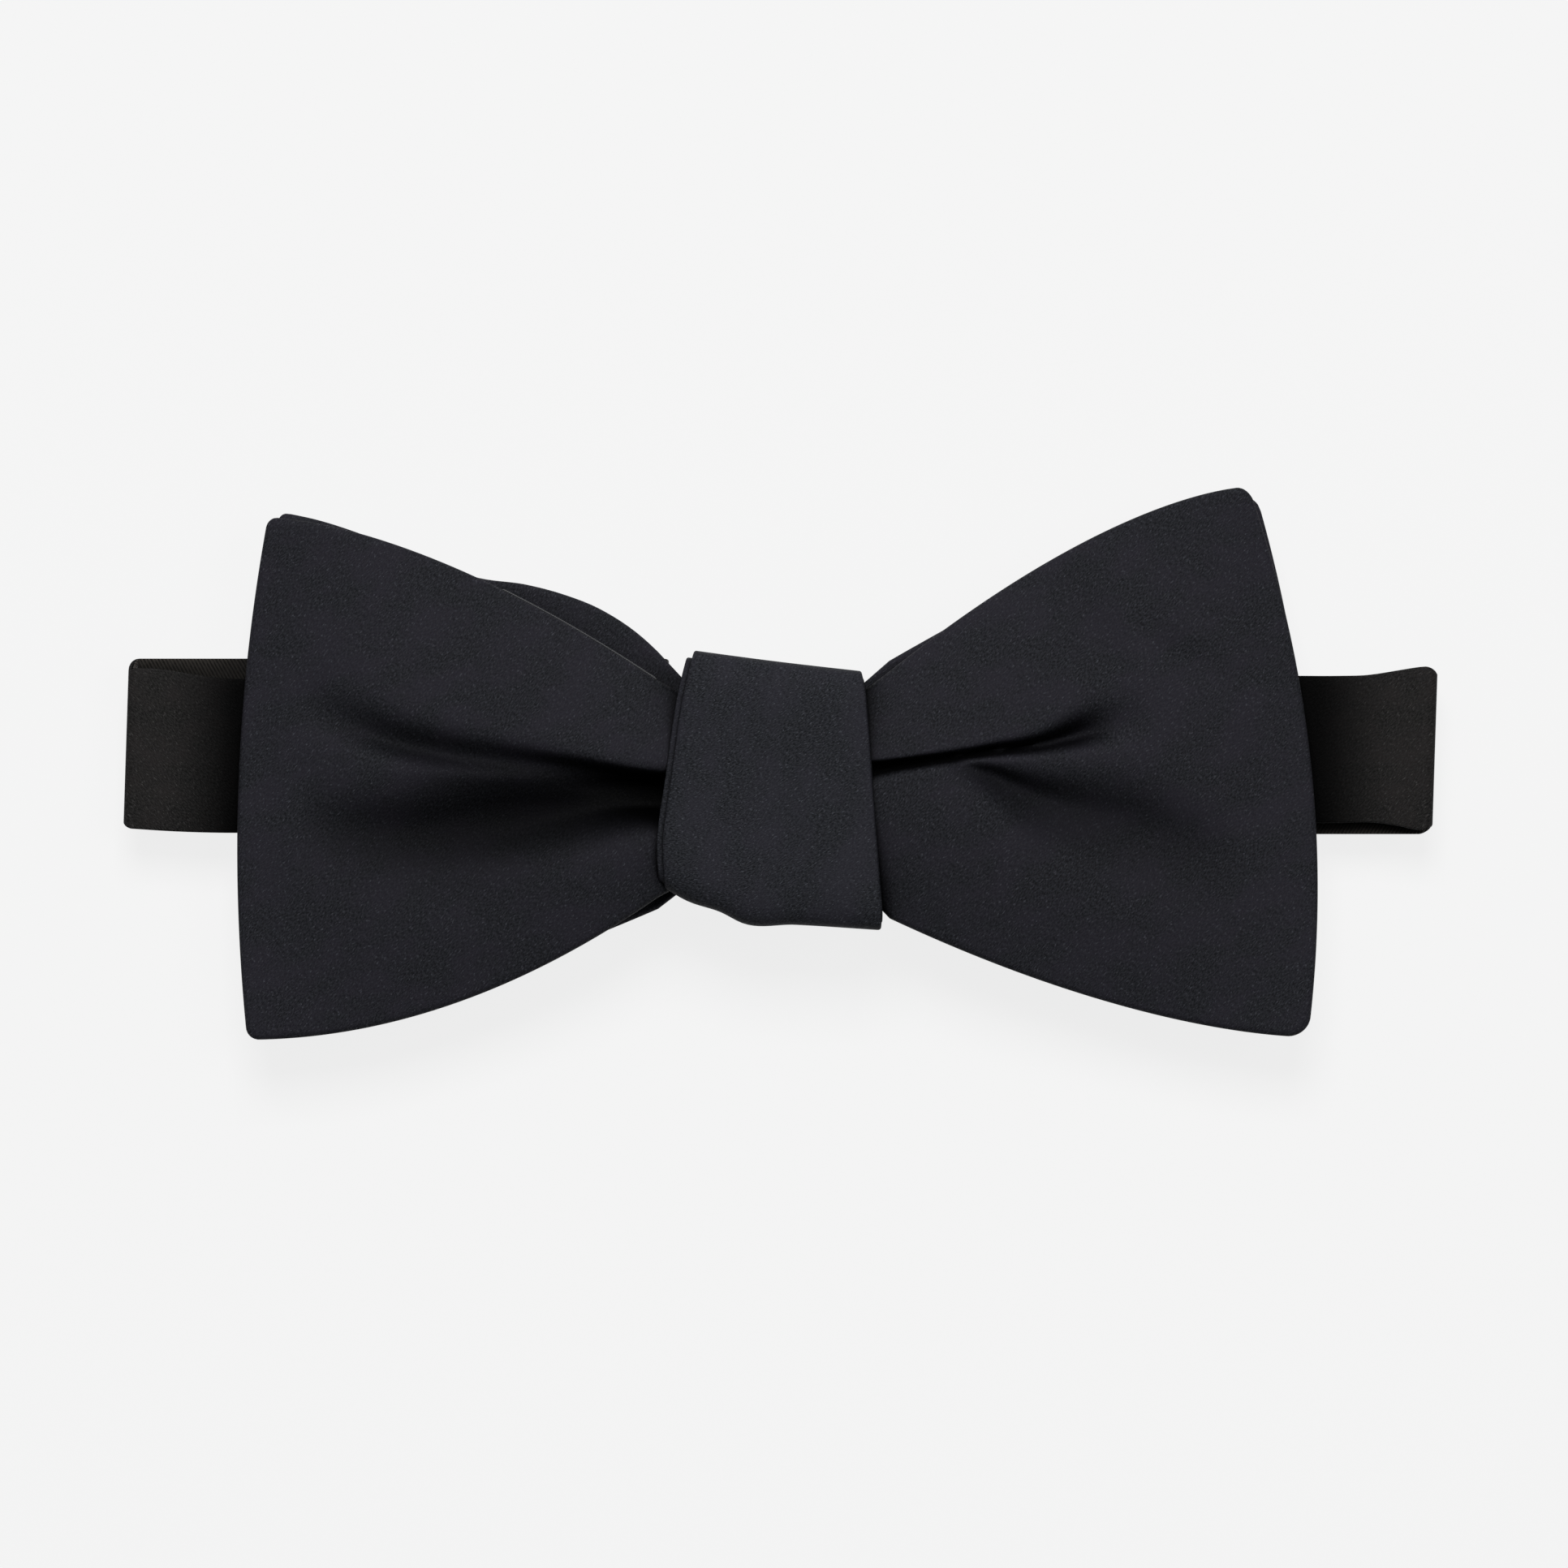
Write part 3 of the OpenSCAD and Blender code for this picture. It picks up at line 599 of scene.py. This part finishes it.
# %% [markdown]
# ## The knot
# A strip of the same satin goes round the middle of both bows and is sewn to itself behind them.
# Its cloth is turned by a right angle, so its grain leans the other way. Seen from the side its
# loop is a squared oval, |y|^n + |z|^n = 1 with n = 7, and the strip is wider at the bottom than at
# the top. Its top and bottom turns slope, because it is wrapped slightly askew.

# %% The knot's cloth
KNOT_POWER = 7
KNOT_HALF_Y, KNOT_HALF_Z = 15.5, 6.1
KNOT_WIDTH = 20.0
# The knot's cloth dips towards the strip's edges, over about this distance
DIP_REACH = 0.8


def oval(count):
    """Points evenly spaced round a squared oval of unit half sizes, as y, z and the way so far."""
    a = np.linspace(0, 2 * np.pi, 4001)
    y = np.sign(np.cos(a)) * np.abs(np.cos(a)) ** (2 / KNOT_POWER)
    z = np.sign(np.sin(a)) * np.abs(np.sin(a)) ** (2 / KNOT_POWER)
    steps = np.hypot(np.diff(y) * KNOT_HALF_Y, np.diff(z) * KNOT_HALF_Z)
    far = np.concatenate([[0], np.cumsum(steps)])
    at = np.linspace(0, far[-1], count, endpoint=False)
    return np.interp(at, far, y), np.interp(at, far, z), at


def knot_cloth(name, inset, thickness, left_edge, right_edge, top_turn, bottom_turn, dip, node):
    """A strip round the knot. Across it w runs from its left to its right edge; its top and bottom
    turns are curves of w, and its left and right edges are curves of the height y."""
    rounding = 0.5 * thickness * (1 - np.cos(np.linspace(0, np.pi / 2, 6)))
    rim = np.concatenate([rounding, [0.6, 1.0, 1.5, 2.1]]) / KNOT_WIDTH
    w = np.concatenate([rim, np.linspace(0.14, 0.86, 30), 1 - rim[::-1]])[None, :]
    around_y, around_z, far = oval(200)
    top = through(w, *top_turn) - inset
    bottom = through(w, *bottom_turn) + inset
    y = (top + bottom) / 2 + (top - bottom) / 2 * around_y[:, None]
    node_low, node_high = low(node), high(node)
    z_half = (node_high[2] - node_low[2]) / 2 - inset
    edge = np.minimum(w, 1 - w) * KNOT_WIDTH
    sink = dip * np.exp(-edge / DIP_REACH)
    z = (node_high[2] + node_low[2]) / 2 + (z_half - sink) * around_z[:, None]
    x = mix(through(y, *left_edge), through(y, *right_edge), w)
    middle = np.stack([x, y, z], -1)
    n = normals(middle, closed=True)
    half = (thickness / 2 * roll(edge, thickness / 2))[..., None]
    uv = np.stack(np.broadcast_arrays(far[:, None], -x), -1)
    piece = shell(name, middle - n * half, middle + n * half, uv, knot_satin, closed=True, crease=70)
    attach(piece, "bow")
    return piece


KNOT_LEFT = ((-19, -13.4, -9.4, -1.2, 8.5, 12.6), (-12.9, -12.8, -13.0, -12.0, -10.5, -9.5))
KNOT_RIGHT = ((-19, -17.1, -12.7, -3.1, 3.7, 9.4, 12.6), (11.1, 11.2, 10.9, 10.2, 9.7, 9.1, 8.4))
KNOT_TOP = ((0, 0.5, 1), (12.5, 11.3, 10.2))
KNOT_BOTTOM = ((0, 0.1, 0.27, 0.36, 0.6, 1), (-13.8, -15.2, -16.6, -17.7, -17.9, -18.5))
half_wall = 0.3
knot = knot_cloth("knot_wrap_satin", half_wall, 2 * half_wall, KNOT_LEFT, KNOT_RIGHT,
                  KNOT_TOP, KNOT_BOTTOM, 0.4, "knot_wrap")
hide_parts("knot_wrap")


def shifted(curve, by):
    """The same curve, moved along x by some mm."""
    return curve[0], tuple(value + by for value in curve[1])


wrap_gap = 0.15
inner_t = 0.5
inner_inset = 2 * half_wall + wrap_gap + inner_t / 2
inner_knot = knot_cloth("knot_inner_fold", inner_inset, inner_t, shifted(KNOT_LEFT, -0.65),
                        shifted(KNOT_RIGHT, 0.1), KNOT_TOP, KNOT_BOTTOM, 0.2, "knot_wrap")
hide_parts("knot_inner_wrap")

# %% [markdown]
# Inside the knot the two bows are gathered and bound with a few turns of thread, and behind it the
# wrap is closed with slanting hand stitches. A thread is a round tube carried along a path. The
# binding's path is one long winding: round a flattened loop while it moves slowly sideways.

# %% Binding and back stitches
def winding(turns, box_low, box_high, radius):
    """Path that goes round the x axis inside a box: y and z follow a squared oval, x moves evenly."""
    a = np.linspace(0, 2 * np.pi * turns, 40 * turns)
    centre, half = (box_low + box_high) / 2, (box_high - box_low) / 2 - radius
    y = centre[1] + half[1] * np.sign(np.cos(a)) * np.abs(np.cos(a)) ** 0.5
    z = centre[2] + half[2] * np.sign(np.sin(a)) * np.abs(np.sin(a)) ** 0.5
    x = np.linspace(box_low[0] + radius, box_high[0] - radius, len(a))
    return np.stack([x, y, z], -1)


thread_r = 0.16
binding = thread("waist_thread", [winding(12, low("waist_binding"), high("waist_binding"), thread_r)],
                 thread_r, black_thread)
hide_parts("waist_binding")

# Each stitch starts and ends inside the cloth and bows out of it between
stitch_half, stitch_pitch, stitch_slant, stitch_r = 0.9, 3.0, 0.35, 0.14
stitch_x = np.linspace(-stitch_half, stitch_half, 9)
stitch_z = low("knot_wrap")[2] + 0.12 - 0.30 * np.sin(np.linspace(0, np.pi, 9))
back = [np.stack([stitch_x, y + stitch_slant * stitch_x, stitch_z], -1)
        for y in np.arange(-12, 7, stitch_pitch)]
back_stitches = thread("back_stitches", back, stitch_r, black_thread, 8)
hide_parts("knot_back_stitches")
for piece in (binding, back_stitches):
    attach(piece, "bow")

# %% [markdown]
# ## The neck band
# The band is satin outside and twill inside. From the knot it runs out to each side, folds back
# under itself, folds out again, and ends round the bar of the hook on one side and of the eye on
# the other. Seen along its edge that is a chain of straight runs joined by half turns, so each
# piece is a list of runs: where it starts and stops along x, and how high it lies. Each ply stands
# a little to one side of the line between satin and twill.

# %% The band's line
satin_t = high("front_band_satin")[2] - low("front_band_satin")[2]
lining_t = high("front_band_lining")[2] - low("front_band_lining")[2]
ply_gap = low("front_band_satin")[2] - high("front_band_lining")[2]
half_band = high("left_middle_band_satin")[1] / 2 - low("left_middle_band_satin")[1] / 2

front_z = high("front_band_lining")[2] + ply_gap / 2
middle_z = high("left_middle_band_satin")[2] + ply_gap / 2
end_z = high("left_end_band_lining")[2] + ply_gap / 2
tail_z = high("tail_satin")[2] + ply_gap / 2
flap_z = high("slider_loop_satin")[2] - satin_t - ply_gap / 2
satin_reach = satin_t + ply_gap / 2
lining_reach = lining_t + ply_gap / 2

outer_x = high("right_outer_fold_satin")[0] - (front_z - middle_z) / 2 - satin_reach
inner_x = low("right_inner_fold_lining")[0] + (middle_z - end_z) / 2 + lining_reach
hook_x = -low("hook_loop_satin")[0] - (end_z - tail_z) / 2 - satin_reach
eye_x = high("adjuster_loop_satin")[0] - (end_z - tail_z) / 2 - satin_reach
slider_x = low("slider_loop_satin")[0] + (flap_z - tail_z) / 2 + satin_reach
print("folds at x", [round(float(v), 2) for v in (outer_x, inner_x, hook_x, eye_x, slider_x)])


# A pressed fold is squarer than a half circle: the sine and cosine are raised to this power
SQUARENESS = 0.72


def band_line(runs, step=0.7, turn_points=21):
    """Points (x, z), unit left normals and lengths along runs of (x from, x to, z) that are joined
    by squared half turns: x = fold + radius sin(a)^p, z = middle + radius cos(a)^p."""
    parts = []
    for k, (start, stop, z) in enumerate(runs):
        count = max(3, int(abs(stop - start) / step))
        x = np.linspace(start, stop, count)
        parts.append(np.stack([x, 0 * x + z], -1))
        if k + 1 < len(runs):
            middle, radius = (z + runs[k + 1][2]) / 2, (z - runs[k + 1][2]) / 2
            a = np.linspace(0, np.pi, turn_points)[1:-1]
            way = np.sign(stop - start)
            out, down = np.sin(a) ** SQUARENESS, np.sign(np.cos(a)) * np.abs(np.cos(a)) ** SQUARENESS
            parts.append(np.stack([stop + way * abs(radius) * out, middle + radius * down], -1))
    line = np.concatenate(parts)
    step_on = np.gradient(line, axis=0)
    step_on /= np.linalg.norm(step_on, axis=1, keepdims=True)
    left = np.stack([-step_on[:, 1], step_on[:, 0]], -1)
    far = np.concatenate([[0], np.cumsum(np.linalg.norm(np.diff(line, axis=0), axis=1))])
    return line, left, far


# %% [markdown]
# The band was folded by hand, so its layers lie slightly askew: the front run narrows towards the
# knot, and flares to meet the layer behind it at each outer fold. The height of its two edges is a
# smooth curve of x for the front run and for the top of the middle run, level for all the others,
# and blended round the folds.

# %% The band's edges
FRONT_EDGES = {
    -1: (((16, 50, 59, 62.2, 65.4, 69.4, 72.5), (8.3, 9.3, 9.4, 9.5, 9.9, 10.5, 10.6)),
         ((16, 50, 60, 67, 72.5), (-4.9, -7.3, -7.75, -7.6, -7.25))),
    1: (((16, 50, 57, 62, 65.3, 68.5, 71, 73), (8.3, 9.5, 9.75, 9.75, 9.85, 10.35, 10.75, 10.85)),
        ((16, 50, 57, 62, 66, 68.7, 71.1, 73), (-4.9, -6.3, -6.65, -6.65, -6.6, -6.9, -7.4, -7.6))),
}
RUN_Y = {side: (high(f"{name}_middle_band_satin")[1] + low(f"{name}_middle_band_satin")[1]) / 2
         for side, name in ((-1, "left"), (1, "right"))}

REAR_TOP = {-1: ((43, 72.5), (11.7, 11.7)),
            1: ((43, 50, 57, 63, 68, 73), (10.7, 9.9, 9.3, 9.4, 10.0, 10.7))}
CORNER = {-1: 0.6, 1: 1.0}
fold_end = outer_x + (front_z - middle_z) / 2


def corner_cut(x, side):
    """How far a rounded corner at an outer fold draws each edge in: r - sqrt(r^2 - past^2)."""
    r = CORNER[side]
    past = np.clip(x - (fold_end - r), 0, 0.95 * r)
    return r - np.sqrt(r**2 - past**2)


def band_edges(line, side):
    """Heights of the top and bottom edge at points (x, z) of the band's line. The right middle run's
    top dips behind the front run, which hides it."""
    front = ease(line[:, 1], middle_z, front_z)
    middle = ease(line[:, 1], end_z, middle_z)
    level = RUN_Y[side]
    rear_top = mix(level + half_band, through(line[:, 0], *REAR_TOP[side]), middle)
    cut = corner_cut(line[:, 0], side)
    return [mix(rear, through(line[:, 0], *curve), front) - way * cut
            for rear, curve, way in zip((rear_top, level - half_band), FRONT_EDGES[side], (1, -1))]


# The folds aren't quite square to the band: each leans to the right by this much at its top
END_SLANT = 0.3
# The front run's colour carries full painted shade from the wings up to the first of these
# distances from the middle of the bow, which is about where the wings end, and none from the second on
WING_SHADE_ENDS = (59, 69)
RIPPLE = 0.05


def band_ply(name, line, left, far, top, bottom, offset, thickness, side, material):
    """One ply: the line moved sideways by offset and widened from bottom to top, with rolled edges.
    The cloth undulates a little along x, which a pressed but handled strip always does. On the
    front run the wings' shade is painted into its colour under them and a little way outside them."""
    rim = thickness / 2 * (1 - np.cos(np.linspace(0, np.pi / 2, 5)))
    inside = np.linspace(rim[-1], 1, 14)[1:-1]
    width = (top - bottom)[:, None]
    q = np.concatenate([rim + 0 * width, inside * (width - rim[-1]), width - rim[::-1]], axis=1)
    edge = np.minimum(q, width - q)
    half = thickness / 2 * roll(edge, thickness / 2)
    y = bottom[:, None] + q
    lift = RIPPLE * np.sin(line[:, :1] / 3.1 + y / 5) * np.sin(line[:, :1] / 7.3)

    def sheet_at(height):
        """The ply's points at a height over the line."""
        x = line[:, :1] + left[:, :1] * (offset + height)
        x = x + END_SLANT * side * (y - RUN_Y[1]) / half_band * ease(line[:, :1], 60, outer_x)
        z = line[:, 1:] + left[:, 1:] * (offset + height) + lift * np.abs(left[:, 1:])
        return np.stack([side * x, y, z], -1)

    # Painted shade from the wings over the front run
    painted_wing_shade = ease(line[:, 1:], middle_z, front_z) * (1 - ease(line[:, :1], *WING_SHADE_ENDS))
    uv = np.stack(np.broadcast_arrays(far[:, None], y, painted_wing_shade), -1)
    return shell(name, sheet_at(half), sheet_at(-half), uv, material, crease=60)


def band_piece(name, runs, side, nodes, place, edges=band_edges):
    """Both plies along the same runs, between edges that are found from their line and side. Place
    puts a ply on its body or bakes its transform into its mesh."""
    line, left, far = band_line(runs)
    top, bottom = edges(line, side)
    for cloth, offset, thickness, material in (
            ("satin", (ply_gap + satin_t) / 2, satin_t, band_satin),
            ("lining", -(ply_gap + lining_t) / 2, lining_t, twill)):
        ply = band_ply(f"{name}_{cloth}", line, left, far, top, bottom, offset, thickness, side, material)
        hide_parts(*[f"{node}_{cloth}" for node in nodes])
        place(ply)


# %% [markdown]
# Now the pieces. A piece of cloth that crosses a hinge has its transform baked into its mesh and
# rides on no body. The cuts between pieces lie where the cloth is flat and hidden. The front run
# is one piece from side to side; it never moves against the bow.

# %% The front run
front_stop = 50.0
middle_stop = 43.0


def between():
    """A placing that bakes a ply's transform into its mesh and puts it on no body."""
    return lambda ply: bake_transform(ply)


def riding(body):
    """A placing that lets a ply ride on one body."""
    return lambda ply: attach(ply, body)


def front_run_edges(line, side):
    """Top and bottom of the front run at signed x, blended between its two sides near the knot."""
    x = line[:, 0]
    right = ease(x, -12, 12)
    return [mix(through(-x, *curve), through(x, *FRONT_EDGES[side][k]), right)
            for k, curve in enumerate(FRONT_EDGES[-side])]


band_piece("front_run", [(-front_stop, front_stop, front_z)], 1, ["front_band"], riding("bow"),
           front_run_edges)

# %% The folds on both sides
inner_stop = {-1: 30.0, 1: 16.5}
for side, name in ((-1, "left"), (1, "right")):
    outer_runs = [(front_stop, outer_x, front_z), (outer_x, middle_stop, middle_z)]
    band_piece(f"{name}_outer_turn", outer_runs, side, [f"{name}_outer_fold"],
               between())
    inner_runs = [(middle_stop, inner_x, middle_z), (inner_x, inner_stop[side], end_z)]
    band_piece(f"{name}_inner_turn", inner_runs, side,
               [f"{name}_middle_band", f"{name}_inner_fold", f"{name}_end_band"],
               between())

# %% [markdown]
# The left end turns round the hook's bar and is tacked down. The right end passes through the
# slider, round the eye's bar and back to the slider's middle bar, where it is tacked too: sliding
# the slider makes the loop longer or shorter. The cloth between them stretches by a few millimetres
# in the model, where the real strip would pass through the slider.

# %% The two ends
flap_stop = -high("hook_loop_satin")[0]
band_piece("hook_turn", [(inner_stop[-1], hook_x, end_z), (hook_x, flap_stop, tail_z)], -1,
           ["hook_loop"], riding("left_end_run"))

tail_start = eye_x - 0.5
tail_stop = high("slider_loop_satin")[0]
band_piece("eye_turn", [(inner_stop[1], eye_x, end_z), (eye_x, tail_start, tail_z)], 1,
           ["adjuster_loop"],
           between())
band_piece("slider_turn", [(tail_start, slider_x, tail_z), (slider_x, tail_stop, flap_z)], 1,
           ["tail", "slider_loop"],
           between())

# %% Bar tacks
def bar_tack(name, node, body):
    """A dense row of thread up and down through a loop's two layers: a zigzag in its CAD box."""
    spacing, inset, proud, tack_r = 0.22, 0.2, 0.05, 0.14
    box_low, box_high = low(node), high(node)
    rows = int((box_high[1] - box_low[1]) / spacing)
    turn = np.arange(2 * rows)
    x = mix(box_low[0] + inset, box_high[0] - inset, (turn // 2) % 2)
    y = np.linspace(box_low[1], box_high[1], 2 * rows)
    z = mix(box_low[2] - proud, box_high[2] + proud, turn % 2)
    piece = thread(name, [np.stack([x, y, z], -1)], tack_r, black_thread)
    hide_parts(node)
    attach(piece, body)


bar_tack("hook_tack", "hook_bar_tack", "left_end_run")
bar_tack("slider_tack", "slider_bar_tack", "slider")

# %% [markdown]
# ## Fittings
# The hook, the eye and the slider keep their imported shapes, which are their real ones. Stamped
# metal never has razor edges, so each gets a small bevel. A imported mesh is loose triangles, and a
# bevel needs joined ones, so a Weld modifier comes first.

# %% Rounded edges on the fittings
for name in ("hook", "eye", "slider"):
    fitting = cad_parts[name]
    fitting.data.materials.clear()
    fitting.data.materials.append(nickel)
    weld = fitting.modifiers.new("join", "WELD")
    weld.merge_threshold = 0.00001
    bevel = fitting.modifiers.new("round", "BEVEL")
    bevel.width = 0.00015
    bevel.segments = 3
    bevel.limit_method = "ANGLE"
    bevel.angle_limit = np.radians(30)
    bevel.harden_normals = False
    print(name, "keeps its packed shape")

# %% [markdown]
# ## Floor, light and camera
# The tie lies on a pale floor. Most of the floor's brightness is its own glow, which keeps it even
# and its shadows faint. A wide soft lamp above and beyond the top edge lights the cloth, with a weak
# one at the right to fill in: satin turned towards them is grey, and the side of a pleat that is
# turned away, or deep in a crease, goes black.

# %% The floor
def plain_floor():
    """A large pale square under the object."""
    half = 3.0
    mesh = bpy.data.meshes.new("floor")
    corners = [(-half, -half, 0), (half, -half, 0), (half, half, 0), (-half, half, 0)]
    mesh.from_pydata(corners, [], [(0, 1, 2, 3)])
    material, _, bsdf = new_material("pale_floor")
    bsdf.inputs["Base Color"].default_value = (0.08, 0.08, 0.08, 1)
    bsdf.inputs["Roughness"].default_value = 1.0
    bsdf.inputs["Specular IOR Level"].default_value = 0.0
    bsdf.inputs["Emission Color"].default_value = (1, 1, 1, 1)
    bsdf.inputs["Emission Strength"].default_value = 0.825
    mesh.materials.append(material)
    floor = bpy.data.objects.new("floor", mesh)
    bpy.context.scene.collection.objects.link(floor)


plain_floor()

# %% Light
def soft_lamp(name, place, size, watts):
    """A square area lamp that faces the object."""
    lamp = bpy.data.lights.new(name, "AREA")
    lamp.size = size
    lamp.energy = watts
    holder = bpy.data.objects.new(name, lamp)
    holder.location = place
    holder.rotation_mode = "QUATERNION"
    holder.rotation_quaternion = holder.location.to_track_quat("Z", "Y")
    bpy.context.scene.collection.objects.link(holder)


lamp_size = 0.5
soft_lamp("key", (-0.05, 0.62, 1.08), lamp_size, 15.5)
soft_lamp("fill", (0.65, 0.2, 1.3), lamp_size, 2.5)

world = bpy.data.worlds.new("room")
bpy.context.scene.world = world
world.use_nodes = True
backdrop = world.node_tree.nodes["Background"]
backdrop.inputs["Color"].default_value = (0.95, 0.97, 1.0, 1)
backdrop.inputs["Strength"].default_value = 0.10

# %% Camera
# A long lens straight above gives hardly any perspective. It sees a square some 174 mm wide.
view_width = 0.1739
view_centre = (0.0004, -0.0023)
wing_height = 0.012
lens_mm, sensor_mm = 200.0, 36.0
camera = bpy.data.cameras.new("camera")
camera.lens = lens_mm
camera.sensor_width = sensor_mm
holder = bpy.data.objects.new("camera", camera)
holder.location = (*view_centre, wing_height + view_width * lens_mm / sensor_mm)
bpy.context.scene.collection.objects.link(holder)
bpy.context.scene.camera = holder
bpy.context.scene.view_settings.view_transform = "Standard"
bpy.context.scene.view_settings.look = "None"
